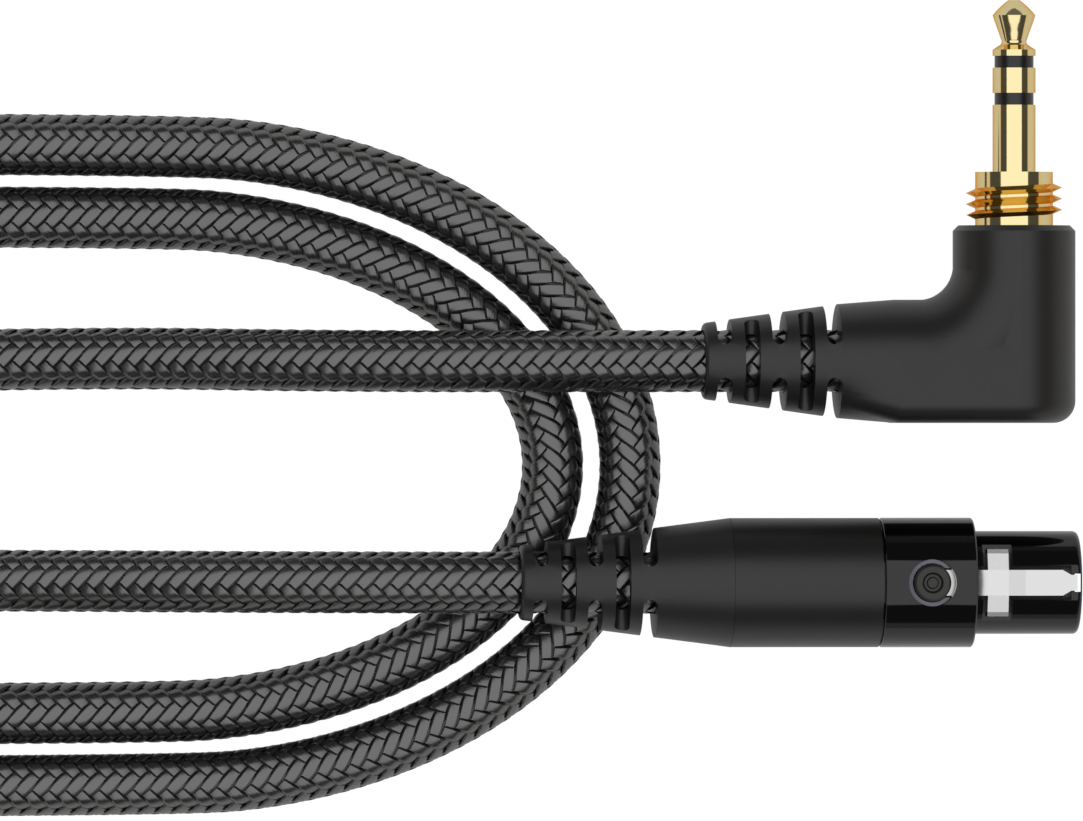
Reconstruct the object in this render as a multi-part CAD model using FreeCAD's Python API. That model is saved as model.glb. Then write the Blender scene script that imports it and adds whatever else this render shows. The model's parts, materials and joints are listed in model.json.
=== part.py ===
# Detachable headphone lead, in millimetres, lying on a table with +Z up.
# A right-angle 3.5 mm plug and a three-contact miniature locking connector are
# joined by one braided cable, which is wound in two long loops beside them.
# The origin is on the table, under the middle of the box round the plug and the connector.

import FreeCAD
import Part
import math
import os

Vector = FreeCAD.Vector

# Where the plug and the connector lie
axis_spacing = 18.0
plug_pin_x = 17.53
plug_tilt_deg = 5.6
connector_tilt_deg = 5.0
table_gap = 0.01
boot_gap = 0.3

# Cable and its route
cable_diameter = 5.1
loop_gap = 0.8
loops_y = -11.54
outer_half_width = 26.2
outer_reach_x = -13.4
outer_turn_length = 37.7
inner_reach_x = -19.75
inner_turn_length = 33.0
third_reach_x = -182.5
third_turn_in_length = 25.5
third_turn_out_length = 20.5
second_turn_length = 21.0
first_turn_length = 21.0
first_turn_spread = 0.6
coil_start_y = -4.0
coil_start_x = -148.0
climb_start_x = -131.0
climb_slope = 0.09
climb_corner_height = 3.8
climb_side_height = 7.5
crossing_gap = 0.62
coil_end_x = -155.0
coil_exit_run = 14.0
plug_route = [
    (-36.0, -3.1, 8.5),
    (-60.5, -2.7, 3.0),
    (-106.0, -4.0, 2.55),
]
connector_route = [
    (-118.0, -21.6, 3.1),
    (-96.0, -21.0, 2.55),
    (-66.0, -20.9, 4.3),
]
plug_straight_reach = 32.5
connector_straight_reach = 58.5
arc_share = 0.45

# Clearances
seat_gap = 0.02
slide_gap = 0.15
loose_gap = 0.35
push_gap = 0.08

# Plug pin, from its tip
pin_radius = 1.75
tip_end_radius = 0.45
tip_nose_depth = 0.56
tip_shoulder_at = 1.25
tip_crown_run = 0.22
tip_crown_depth = 0.072
tip_flank_run = 0.68
tip_flank_depth = 0.23
tip_neck_lead = 0.245
tip_neck_depth = 0.7
tip_waist_at = 3.5
tip_waist_depth = 0.72
tip_flare_run = 0.14
tip_flare_depth = 0.62
tip_base_at = 4.05
tip_length = 4.55
band_length = 0.97
band_radius = 1.59
ring_length = 2.05
barrel_length = 5.46
rod_radius = 0.5
tube_wall = 0.23

# Plug collar, with a thread for a screw-on adapter
collar_radius = 3.17
collar_top_length = 0.9
thread_turns = 2.5
collar_foot_length = 0.48
thread_radius = 3.93
thread_pitch = 0.9
thread_root_width = 0.72
anchor_radius = 3.5
anchor_length = 0.8

# Solder tags and washers behind the plug's pin
washer_thickness = 0.6
washer_radius = 1.85
tag_thickness = 0.3
tag_length = 2.4
tag_width = 1.3
rivet_length = 0.3
sleeve_tag_deg = 180.0
ring_tag_deg = 60.0
tip_tag_deg = -60.0

# Moulded elbow over a hard inner housing
neck_radius = 5.0
neck_height = 11.05
neck_chamfer = 0.45
neck_lip_length = 0.8
arm_drop = 5.03
arm_corner_radius = 1.8
inner_bend_radius = 2.85
bend_inset = 0.02
arm_straight_length = 9.85
arm_length = 14.5
arm_end_radius = 4.64
housing_radius = 3.9
housing_wall = 0.7
housing_drop = 3.4
housing_arm_radius = 3.35
housing_arm_length = 13.0
plug_cable_start = 9.4

# Flexible boots: bars and cross slots
boot_length = 11.0
boot_slot_width = 1.2
boot_slot_count = 5
boot_bridge_width = 2.7
boot_rim_radius = 0.3
plug_boot_end_radius = 3.09
connector_boot_end_radius = 3.02

# Connector shell: nose and collar in one piece
nose_radius = 4.19
nose_length = 8.65
nose_bore_radius = 3.65
nose_edge_radius = 0.45
grip_radius = 5.27
grip_length = 7.55
grip_bore_radius = 4.4
grip_chamfer = 0.12
spigot_radius = 4.78
spigot_length = 3.0
step_depth = 0.85
seam_width = 0.12

# Connector sleeve and boot behind the shell
sleeve_length = 12.1
sleeve_radius = 5.25
sleeve_bore_radius = 4.3
boot_spigot_length = 3.0
boot_cone_length = 6.15
boot_base_radius = 4.45
boot_cavity_depth = 2.2
connector_cable_start = 26.0

# Insert and contacts
insert_recess = 0.6
insert_length = 16.0
contact_count = 3
contact_circle_radius = 1.95
first_contact_deg = 150.0
contact_radius = 0.8
contact_bore_radius = 0.5
contact_bore_depth = 6.6
contact_recess = 0.5
contact_length = 17.6
cup_radius = 0.55
cup_depth = 1.8

# Latch
latch_thickness = 0.35
latch_width = 2.08
latch_tail_width = 1.28
latch_front = 0.42
latch_tail_length = 0.5
latch_taper_length = 0.7
latch_top = 4.02
latch_proud = 0.1
latch_ramp_length = 1.4
wing_front = 6.05
wing_rear = 7.75
wing_span = 5.46
wing_drop = 0.4
wing_hook = 0.3
wing_edge_drop = 0.14
latch_overhang = 1.1
lip_thickness = 0.13
ledge_length = 1.0

# Release button and its spring
button_at = 12.35
button_radius = 1.51
button_hole_radius = 1.94
button_stand = 0.12
button_head_length = 1.0
button_boss_radius = 0.9
button_edge = 0.18
button_dish_radius = 0.86
button_dish_slant = 0.17
button_dish_depth = 0.28
button_nub_radius = 0.5
button_nub_slant = 0.1
button_nub_height = 0.14
button_travel = 0.6
guide_radius = 1.91
guide_inset = 0.2
stem_radius = 0.5
stem_length = 2.9
stem_gap = 0.05
spring_wire = 0.2
spring_turn_count = 3
spring_radius = 0.85
spring_seat_height = 2.1

# Cable clamp and wires
clamp_wall = 0.5
clamp_length = 3.4
wire_radius = 0.5
wire_circle_radius = 1.2
wire_insertion = 1.0
ground_wire_deg = 0.0
right_wire_deg = 240.0
left_wire_deg = 120.0

# Limits of the drawing: a turn or an offset below them counts as none, and cuts pass the faces by the margin
straight_angle = 1e-6
straight_share = 1e-7
same_direction = 1e-9
cut_margin = 1.0
gap_step_count = 4
gap_skip_count = 4

# Worked out from the sizes above
cable_radius = cable_diameter / 2
bore_radius = cable_radius + seat_gap
pin_length = tip_length + 2 * band_length + ring_length + barrel_length
thread_length = thread_turns * thread_pitch + thread_root_width
collar_length = collar_top_length + thread_length + collar_foot_length
tip_y = neck_height + collar_length + pin_length
box_half_width = (tip_y + axis_spacing + grip_radius) / 2
plug_y = box_half_width - tip_y
connector_y = grip_radius - box_half_width
connector_tilt = math.radians(connector_tilt_deg)
plug_tilt = math.radians(plug_tilt_deg)
boot_front = nose_length + grip_length + seam_width + sleeve_length + seat_gap
connector_length = boot_front + boot_cone_length + boot_length
nose_bulge = (nose_radius - nose_edge_radius) * math.sin(connector_tilt)
nose_bulge += nose_edge_radius * (1 - math.cos(connector_tilt))
boot_end_bulge = (connector_boot_end_radius - boot_rim_radius) * math.sin(connector_tilt)
box_length = connector_length * math.cos(connector_tilt) + nose_bulge + boot_end_bulge
connector_x = box_length / 2 - nose_bulge
loop_bow = 1 - math.sqrt(1 - ((connector_y - loops_y) / outer_half_width) ** 2)
loop_reach = (connector_x - outer_reach_x + outer_turn_length * loop_bow) / math.cos(connector_tilt)
boot_slope = (boot_base_radius - connector_boot_end_radius) / boot_length
boot_radius_there = connector_boot_end_radius + (connector_length - loop_reach) * boot_slope
boot_rest = cable_diameter + boot_gap + boot_radius_there * math.cos(connector_tilt)
boot_rest -= loop_reach * math.sin(connector_tilt)
nose_rest = nose_radius * math.cos(connector_tilt) + table_gap
connector_height = max(boot_rest, nose_rest)
plug_height = neck_radius + table_gap
plug_placement = FreeCAD.Placement(
    Vector(plug_pin_x, plug_y, plug_height), FreeCAD.Rotation(Vector(0, 1, 0), plug_tilt_deg)
)
connector_placement = FreeCAD.Placement(
    Vector(connector_x, connector_y, connector_height),
    FreeCAD.Rotation(Vector(0, 1, 0), connector_tilt_deg),
)
loop_pitch = cable_diameter + loop_gap
inner_half_width = outer_half_width - loop_pitch
crossing_height = cable_radius + cable_diameter + crossing_gap
second_reach_x = third_reach_x + loop_pitch
first_reach_x = second_reach_x + loop_pitch + first_turn_spread
tag_stack_top = neck_height - neck_lip_length - anchor_length
sleeve_tag_bottom = tag_stack_top - tag_thickness
ring_tag_top = sleeve_tag_bottom - washer_thickness
ring_tag_bottom = ring_tag_top - tag_thickness
tip_tag_top = ring_tag_bottom - washer_thickness
tip_tag_bottom = tip_tag_top - tag_thickness
tip_tube_radius = rod_radius + seat_gap + tube_wall
ring_tube_radius = tip_tube_radius + seat_gap + tube_wall
cover_radius = ring_tube_radius + seat_gap + tube_wall
housing_bore_radius = housing_radius - housing_wall
tag_bend_radius = washer_radius + slide_gap
grip_rear = nose_length + grip_length
insert_rear = insert_recess + insert_length
contact_front = insert_recess + contact_recess
contact_rear = contact_front + contact_length
latch_bottom = latch_top - latch_thickness
latch_reach = button_at + latch_overhang
wing_top = nose_radius + latch_proud
pivot_x = -(latch_front + latch_tail_length / 2)
latch_drop = button_travel * (latch_reach + pivot_x) / (button_at + pivot_x)
wing_travel = button_travel * (wing_rear + pivot_x) / (button_at + pivot_x)
groove_floor = latch_bottom - latch_drop - slide_gap
wing_floor = wing_top - wing_drop - latch_thickness - wing_hook - wing_travel - slide_gap
button_foot = latch_top + push_gap
button_top = grip_radius + button_stand
head_floor = button_top - button_head_length - button_travel - slide_gap


# Small helpers

def lathe(outline, axis):
    """A solid turned about the local X or Y axis.

    The outline lists corners as (place, radius). An entry of four numbers is an arc,
    through its first pair to its second.
    """
    def corner(place, radius):
        return Vector(place, radius, 0) if axis == "x" else Vector(radius, place, 0)

    edges = []
    here = corner(*outline[0][-2:])
    for entry in outline[1:] + outline[:1]:
        there = corner(*entry[-2:])
        if len(entry) == 4:
            edges.append(Part.Arc(here, corner(*entry[:2]), there).toShape())
        else:
            edges.append(Part.LineSegment(here, there).toShape())
        here = there
    direction = Vector(1, 0, 0) if axis == "x" else Vector(0, 1, 0)
    return Part.Solid(Part.Face(Part.Wire(edges)).revolve(Vector(0, 0, 0), direction, 360))


def rod(radius, start, end):
    """A cylinder from one point to another."""
    return Part.makeCylinder(radius, (end - start).Length, start, end - start)


def tube(outer, inner, start, end):
    """A cylinder with a bore, from one point to another."""
    return rod(outer, start, end).cut(rod(inner, start, end))


def block(x_range, y_range, z_range):
    """A box between three pairs of limits."""
    low = Vector(x_range[0], y_range[0], z_range[0])
    return Part.makeBox(x_range[1] - low.x, y_range[1] - low.y, z_range[1] - low.z, low)


def prism(corners, length):
    """A flat outline of points, drawn out by a vector."""
    return Part.Face(Part.makePolygon(corners + [corners[0]])).extrude(length)


def on_circle(radius, degrees, x):
    """A point on a circle about the local X axis, at an angle from +Y towards +Z."""
    angle = math.radians(degrees)
    return Vector(x, radius * math.cos(angle), radius * math.sin(angle))


def ring_along_x(radius, degrees_list, x):
    """A closed round wire about the local X axis, made of arcs between the listed angles."""
    arcs = []
    for start, end in zip(degrees_list, degrees_list[1:] + [degrees_list[0] + 360]):
        points = [on_circle(radius, at, x) for at in (start, (start + end) / 2, end)]
        arcs.append(Part.Arc(*points).toShape())
    return Part.Wire(arcs)


# Cable paths

def rounded_route(points, name):
    """Straight runs joined by tangent arcs, each as large as its two runs allow."""
    edges = []
    radii = []
    here = points[0]
    for before, corner, after in zip(points, points[1:], points[2:]):
        arriving = (corner - before).normalize()
        leaving = (after - corner).normalize()
        half_turn = arriving.getAngle(leaving) / 2
        if half_turn < straight_angle:
            continue
        setback = arc_share * min((corner - before).Length, (after - corner).Length)
        radius = setback / math.tan(half_turn)
        radii.append(radius)
        arc_start = corner - arriving * setback
        arc_end = corner + leaving * setback
        inward = (leaving - arriving).normalize()
        middle = corner + inward * radius * (1 / math.cos(half_turn) - 1)
        edges.append(Part.LineSegment(here, arc_start).toShape())
        edges.append(Part.Arc(arc_start, middle, arc_end).toShape())
        here = arc_end
    edges.append(Part.LineSegment(here, points[-1]).toShape())
    if name:
        print(name, "arc radii", [round(radius) for radius in radii])
    return Part.Wire(edges)


def arc_from(start, tangent, end):
    """The arc that leaves start along tangent and reaches end, or a line where they are in line."""
    chord = end - start
    side = chord - tangent * chord.dot(tangent)
    if side.Length < straight_share * chord.Length:
        return Part.LineSegment(start, end).toShape()
    inward = side.normalize()
    radius = chord.dot(chord) / (2 * chord.dot(inward))
    centre = start + inward * radius
    outward = (start + end) / 2 - centre
    if chord.dot(tangent) < 0:
        outward = outward * -1
    return Part.Arc(start, centre + outward.normalize() * radius, end).toShape()


def biarc(start, start_tangent, end, end_tangent):
    """Two arcs with one tangent where they meet, between two stations of the route."""
    chord = end - start
    slant = chord.dot(start_tangent + end_tangent)
    turning = 2 * (1 - start_tangent.dot(end_tangent))
    if turning < same_direction:
        reach = chord.dot(chord) / (2 * slant)
    else:
        reach = (math.sqrt(slant * slant + turning * chord.dot(chord)) - slant) / turning
    first_corner = start + start_tangent * reach
    second_corner = end - end_tangent * reach
    joint = (first_corner + second_corner) / 2
    middle_tangent = (second_corner - first_corner).normalize()
    return [arc_from(start, start_tangent, joint), arc_from(joint, middle_tangent, end)]


def coil_stations():
    """Places and directions at each quarter turn of the two loops, from the plug's side on."""
    floor = cable_radius
    left = Vector(-1, 0, 0)
    right = Vector(1, 0, 0)
    up = Vector(0, 1, 0)
    down = Vector(0, -1, 0)
    first_turn_x = first_reach_x + first_turn_length
    stations = [
        (Vector(coil_start_x, coil_start_y, floor), left),
        (Vector(first_turn_x, coil_start_y, floor), left),
    ]
    entry_y = coil_start_y
    turn_x = second_reach_x + second_turn_length
    inner = (inner_half_width, inner_reach_x, inner_turn_length, first_reach_x, first_turn_length, turn_x)
    outer = (
        outer_half_width, outer_reach_x, outer_turn_length, second_reach_x, second_turn_length, climb_start_x
    )
    for half_width, reach_x, turn_length, left_reach_x, left_turn_length, straight_end_x in (inner, outer):
        low = loops_y - half_width
        high = loops_y + half_width
        stations.append((Vector(left_reach_x, (entry_y + low) / 2, floor), down))
        stations.append((Vector(left_reach_x + left_turn_length, low, floor), right))
        stations.append((Vector(reach_x - turn_length, low, floor), right))
        stations.append((Vector(reach_x, loops_y, floor), up))
        stations.append((Vector(reach_x - turn_length, high, floor), left))
        stations.append((Vector(straight_end_x, high, floor), left))
        entry_y = high
    rising_left = Vector(-1, 0, climb_slope).normalize()
    rising_down = Vector(0, -1, climb_slope).normalize()
    third_in_x = third_reach_x + third_turn_in_length
    third_out_x = third_reach_x + third_turn_out_length
    stations.append((Vector(third_in_x, entry_y, climb_corner_height), rising_left))
    stations.append((Vector(third_reach_x, (entry_y + connector_y) / 2, climb_side_height), rising_down))
    stations.append((Vector(third_out_x, connector_y, crossing_height), right))
    stations.append((Vector(coil_end_x, connector_y, crossing_height), right))
    return stations


def path_through(stations):
    """One wire of arcs through stations of a place and a direction."""
    edges = []
    for (start, start_tangent), (end, end_tangent) in zip(stations, stations[1:]):
        edges += biarc(start, start_tangent, end, end_tangent)
    return Part.Wire(edges)


def cable_along(path):
    """The cable as one round tube along a path."""
    start = path.Edges[0]
    tangent = start.tangentAt(start.FirstParameter)
    section = Part.Wire([Part.makeCircle(cable_radius, start.valueAt(start.FirstParameter), tangent)])
    return Part.Solid(path.makePipeShell([section], True, False))


def least_gap(paths):
    """The least gap of the cable to itself along joined paths, measured on evenly spaced points."""
    step = cable_diameter / gap_step_count
    points = [point for path in paths for point in path.discretize(Distance=step)]
    skip = gap_step_count * gap_skip_count
    spans = [
        (here - there).Length
        for index, here in enumerate(points)
        for there in points[index + skip:]
    ]
    return min(spans) - cable_diameter


def plug_run():
    """The route from inside the plug to the start of the loops."""
    ends = [
        plug_placement.multVec(Vector(-plug_cable_start, 0, 0)),
        plug_placement.multVec(Vector(-plug_straight_reach, 0, 0)),
    ]
    middle = [Vector(*point) for point in plug_route]
    last = Vector(coil_start_x, coil_start_y, cable_radius)
    return rounded_route(ends + middle + [last], "plug lead")


def connector_run():
    """The route from the end of the loops to inside the connector."""
    starts = [
        Vector(coil_end_x, connector_y, crossing_height),
        Vector(coil_end_x + coil_exit_run, connector_y, crossing_height),
    ]
    middle = [Vector(*point) for point in connector_route]
    ends = [
        connector_placement.multVec(Vector(-connector_straight_reach, 0, 0)),
        connector_placement.multVec(Vector(-connector_cable_start, 0, 0)),
    ]
    return rounded_route(starts + middle + ends, "connector lead")


# Plug pin and what it is made of

def pin_place(from_tip):
    """Height in the plug's frame of a place measured from the pin's tip."""
    return tip_y - from_tip


def jack_tip():
    """The tip contact, with the rod that runs down through the pin."""
    base = pin_place(tip_length)
    nose = (pin_place(tip_shoulder_at / 2), pin_radius - tip_nose_depth)
    shoulder = (pin_place(tip_shoulder_at), pin_radius)
    crown = (pin_place(tip_shoulder_at + tip_crown_run), pin_radius - tip_crown_depth)
    flank = (pin_place(tip_shoulder_at + tip_flank_run), pin_radius - tip_flank_depth)
    neck = (pin_place(tip_waist_at - tip_neck_lead), pin_radius - tip_neck_depth)
    waist = (pin_place(tip_waist_at), pin_radius - tip_waist_depth)
    flare = (pin_place(tip_waist_at + tip_flare_run), pin_radius - tip_flare_depth)
    return lathe([
        (pin_place(0), 0),
        (pin_place(0), tip_end_radius),
        nose + shoulder,
        crown + flank,
        neck,
        waist + flare,
        (pin_place(tip_base_at), pin_radius),
        (base, pin_radius),
        (base, rod_radius),
        (tip_tag_bottom - rivet_length, rod_radius),
        (tip_tag_bottom - rivet_length, 0),
    ], "y")


def band_and_tube(top, length, head_radius, tube_outer, tube_inner, foot):
    """A ring on the pin with a tube below it that reaches down to foot."""
    return lathe([
        (top, tube_inner),
        (top, head_radius),
        (top - length, head_radius),
        (top - length, tube_outer),
        (foot, tube_outer),
        (foot, tube_inner),
    ], "y")


def thread_ridge(base_y):
    """The helical ridge of the adapter's thread, above base_y."""
    rise = thread_turns * thread_pitch
    spine = Part.makeHelix(thread_pitch, rise, collar_radius)
    root = collar_radius - 2 * seat_gap
    half = thread_root_width / 2
    corners = [Vector(root, 0, -half), Vector(thread_radius, 0, 0), Vector(root, 0, half)]
    section = Part.makePolygon(corners + [corners[0]])
    ridge = Part.Wire(spine.Edges).makePipeShell([section], True, True)
    solid = Part.Solid(ridge)
    solid.rotate(Vector(0, 0, 0), Vector(1, 0, 0), -90)
    solid.rotate(Vector(0, 0, 0), Vector(0, 1, 0), 180)
    solid.translate(Vector(0, base_y + half, 0))
    return solid


def jack_sleeve():
    """The pin's barrel, the threaded collar and the flange that the elbow holds, in one piece."""
    top = pin_place(pin_length - barrel_length)
    shoulder = neck_height + collar_length
    flange_top = neck_height - neck_lip_length
    inner = cover_radius + seat_gap
    body = lathe([
        (top, inner),
        (top, pin_radius),
        (shoulder, pin_radius),
        (shoulder, collar_radius),
        (flange_top, collar_radius),
        (flange_top, anchor_radius),
        (tag_stack_top, anchor_radius),
        (tag_stack_top, inner),
    ], "y")
    return body.fuse(thread_ridge(neck_height + collar_foot_length))


def washer(top, inner):
    """An insulating washer between two solder tags."""
    return tube(washer_radius, inner, Vector(0, top - washer_thickness, 0), Vector(0, top, 0))


def solder_tag(top, inner, reach, degrees):
    """A flat ring with one tab bent down beside it, turned about the pin by degrees."""
    plate = rod(washer_radius, Vector(0, top - tag_thickness, 0), Vector(0, top, 0))
    arm = block((0, reach + tag_thickness), (top - tag_thickness, top), (-tag_width / 2, tag_width / 2))
    tab = block(
        (reach, reach + tag_thickness), (top - tag_length, top), (-tag_width / 2, tag_width / 2)
    )
    hole = rod(inner, Vector(0, top - tag_thickness, 0), Vector(0, top, 0))
    tag = plate.fuse([arm, tab]).cut(hole).removeSplitter()
    tag.rotate(Vector(0, 0, 0), Vector(0, 1, 0), degrees)
    return tag


# Elbow

def arm_section(x):
    """The arm's outline: round on the inner side of the bend, square with small corners on the outer."""
    flat_end = -(arm_drop - arm_corner_radius)
    side = neck_radius - arm_corner_radius
    bulge = arm_corner_radius * (1 - math.sqrt(0.5))
    diagonal = neck_radius * math.sqrt(0.5)
    points = {
        "top": Vector(x, 0, neck_radius),
        "top_corner": Vector(x, flat_end, neck_radius),
        "top_mid": Vector(x, bulge - arm_drop, neck_radius - bulge),
        "side_top": Vector(x, -arm_drop, side),
        "side_low": Vector(x, -arm_drop, -side),
        "low_mid": Vector(x, bulge - arm_drop, bulge - neck_radius),
        "low_corner": Vector(x, flat_end, -neck_radius),
        "low": Vector(x, 0, -neck_radius),
        "low_round": Vector(x, diagonal, -diagonal),
        "crown": Vector(x, neck_radius, 0),
        "top_round": Vector(x, diagonal, diagonal),
    }
    return Part.Wire([
        Part.LineSegment(points["top"], points["top_corner"]).toShape(),
        Part.Arc(points["top_corner"], points["top_mid"], points["side_top"]).toShape(),
        Part.LineSegment(points["side_top"], points["side_low"]).toShape(),
        Part.Arc(points["side_low"], points["low_mid"], points["low_corner"]).toShape(),
        Part.LineSegment(points["low_corner"], points["low"]).toShape(),
        Part.Arc(points["low"], points["low_round"], points["crown"]).toShape(),
        Part.Arc(points["crown"], points["top_round"], points["top"]).toShape(),
    ])


def elbow_heel():
    """The straight arm, and the heel as one half turn of its lower outline about the pin's axis."""
    arm = Part.Face(arm_section(-arm_straight_length)).extrude(Vector(arm_straight_length, 0, 0))
    flat_end = -(arm_drop - arm_corner_radius)
    bulge = arm_corner_radius * (1 - math.sqrt(0.5))
    corner_start = Vector(0, -arm_drop, neck_radius - arm_corner_radius)
    corner_middle = Vector(0, bulge - arm_drop, neck_radius - bulge)
    corner_end = Vector(0, flat_end, neck_radius)
    outline = Part.Wire([
        Part.LineSegment(Vector(0, 0, 0), Vector(0, -arm_drop, 0)).toShape(),
        Part.LineSegment(Vector(0, -arm_drop, 0), corner_start).toShape(),
        Part.Arc(corner_start, corner_middle, corner_end).toShape(),
        Part.LineSegment(corner_end, Vector(0, 0, neck_radius)).toShape(),
        Part.LineSegment(Vector(0, 0, neck_radius), Vector(0, 0, 0)).toShape(),
    ])
    return arm.fuse(Part.Face(outline).revolve(Vector(0, 0, 0), Vector(0, 1, 0), 180))


def elbow_bend():
    """The round inner side of the bend, a little inside the neck and the arm at both ends."""
    axis_radius = inner_bend_radius + neck_radius
    centre = Vector(-axis_radius, axis_radius, 0)
    circle = Part.makeCircle(neck_radius - bend_inset, Vector(0, axis_radius, 0), Vector(0, 1, 0))
    return Part.Face(Part.Wire([circle])).revolve(centre, Vector(0, 0, 1), -90)


def boot(base_x, base_radius, end_radius):
    """A tapering boot from base_x back along -X: bars joined by bridges, with slots between them."""
    end_x = base_x - boot_length
    rim_slope = (base_radius - end_radius) / boot_length
    bulge = boot_rim_radius * (1 - math.sqrt(0.5))
    body = lathe([
        (base_x, bore_radius),
        (base_x, base_radius),
        (end_x + boot_rim_radius, end_radius + boot_rim_radius * rim_slope),
        (end_x + bulge, end_radius - bulge, end_x, end_radius - boot_rim_radius),
        (end_x, bore_radius),
    ], "x")
    bar_length = boot_length / boot_slot_count - boot_slot_width
    half_slot = boot_slot_width / 2
    bottom = boot_bridge_width / 2 + half_slot
    far = 2 * base_radius
    cuts = []
    for index in range(boot_slot_count):
        middle = base_x - half_slot - index * (boot_slot_width + bar_length)
        for side in (-1, 1):
            across = Vector(0, 1, 0) if index % 2 == 0 else Vector(0, 0, 1)
            through = Vector(0, 0, 1) if index % 2 == 0 else Vector(0, 1, 0)
            centre = Vector(middle, 0, 0) + across * side * bottom
            round_end = rod(half_slot, centre - through * far, centre + through * far)
            low = Vector(middle - half_slot, 0, 0) + across * min(side * bottom, side * far) - through * far
            high = Vector(middle + half_slot, 0, 0) + across * max(side * bottom, side * far) + through * far
            opening = block((low.x, high.x), (low.y, high.y), (low.z, high.z))
            cuts += [round_end, opening]
    return body.cut(cuts)


def elbow_cover():
    """The soft moulding of the plug: neck, elbow, arm and boot, over the inner housing."""
    neck = lathe([
        (0, 0),
        (0, neck_radius),
        (neck_height - neck_chamfer, neck_radius),
        (neck_height, neck_radius - neck_chamfer),
        (neck_height, 0),
    ], "y")
    split_degrees = [90, 125, 145, 215, 235, 270, 360]
    arm_end = ring_along_x(arm_end_radius, split_degrees, -arm_length)
    taper = Part.makeLoft([arm_section(-arm_straight_length), arm_end], True, True)
    tail = boot(-arm_length, arm_end_radius, plug_boot_end_radius)
    outside = elbow_heel().fuse([neck, elbow_bend(), taper, tail])
    anchor_top = neck_height - neck_lip_length
    cavity = rod(
        housing_radius + seat_gap, Vector(0, -housing_drop - seat_gap, 0), Vector(0, tag_stack_top, 0)
    ).fuse([
        rod(anchor_radius + seat_gap, Vector(0, tag_stack_top, 0), Vector(0, anchor_top, 0)),
        rod(collar_radius + seat_gap, Vector(0, anchor_top, 0), Vector(0, neck_height, 0)),
        rod(housing_arm_radius + seat_gap, Vector(0, 0, 0), Vector(-housing_arm_length - seat_gap, 0, 0)),
        rod(bore_radius, Vector(0, 0, 0), Vector(-arm_length - boot_length, 0, 0)),
    ])
    return outside.cut(cavity).removeSplitter()


def plug_housing():
    """The hard inner housing of the plug, round the solder tags and the cable's end."""
    shell = rod(housing_radius, Vector(0, -housing_drop, 0), Vector(0, tag_stack_top, 0)).fuse(
        rod(housing_arm_radius, Vector(0, 0, 0), Vector(-housing_arm_length, 0, 0))
    )
    room = rod(
        housing_bore_radius, Vector(0, housing_wall - housing_drop, 0), Vector(0, tag_stack_top, 0)
    ).fuse(rod(bore_radius, Vector(0, 0, 0), Vector(-housing_arm_length, 0, 0)))
    return shell.cut(room).removeSplitter()


def wire_along(points):
    """One insulated wire along a short route."""
    path = rounded_route(points, "")
    start = path.Edges[0]
    section = Part.Wire([
        Part.makeCircle(wire_radius, points[0], start.tangentAt(start.FirstParameter))
    ])
    return Part.Solid(path.makePipeShell([section], True, False))


def plug_wire(tag_top, reach, degrees, cable_deg):
    """A wire from the cable's end to the foot of a solder tag's tab."""
    angle = math.radians(degrees)
    middle = reach + tag_thickness / 2
    foot = Vector(middle * math.cos(angle), tag_top - tag_length, -middle * math.sin(angle))
    start = on_circle(wire_circle_radius, cable_deg, -plug_cable_start)
    elbow = Vector(foot.x, min(start.y, 0), foot.z)
    lead_in = start + Vector(2 * wire_radius, 0, 0)
    return wire_along([start, lead_in, elbow, foot])


# Connector

def connector_shell():
    """Nose and grip of the connector in one metal shell, with the latch's window and the button's hole."""
    edge = nose_edge_radius
    bulge = edge * (1 - math.sqrt(0.5))
    body = lathe([
        (0, nose_bore_radius),
        (0, nose_radius - edge),
        (-bulge, nose_radius - bulge, -edge, nose_radius),
        (-nose_length, nose_radius),
        (-nose_length, grip_radius - grip_chamfer),
        (-nose_length - grip_chamfer, grip_radius),
        (-grip_rear + grip_chamfer, grip_radius),
        (-grip_rear, grip_radius - grip_chamfer),
        (-grip_rear, spigot_radius),
        (-grip_rear - spigot_length, spigot_radius),
        (-grip_rear - spigot_length, grip_bore_radius),
        (-nose_length - step_depth, grip_bore_radius),
        (-nose_length - step_depth, nose_bore_radius),
    ], "x")
    high = 2 * nose_radius
    low = wing_floor
    slot_half = latch_width / 2 + loose_gap
    tail_half = latch_tail_width / 2 + seat_gap + slide_gap / 2
    tail_rear = latch_front + latch_tail_length
    slot = block((-nose_length, -tail_rear), (-slot_half, slot_half), (low, high))
    tail = block((-tail_rear, -lip_thickness), (-tail_half, tail_half), (low, high))
    under = block(
        (-nose_length - step_depth, -nose_length), (-slot_half, slot_half), (low, latch_top + loose_gap)
    )
    window_half = wing_span / 2 + loose_gap
    window = block(
        (-wing_rear - loose_gap, -wing_front + loose_gap), (-window_half, window_half), (low, high)
    )
    hole = rod(button_hole_radius, Vector(-button_at, 0, nose_bore_radius / 2), Vector(-button_at, 0, high))
    return body.cut([slot, tail, under, window, hole])


def contact_places():
    """The contacts' centres as angles about the connector's axis."""
    return [first_contact_deg + index * 360 / contact_count for index in range(contact_count)]


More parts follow.
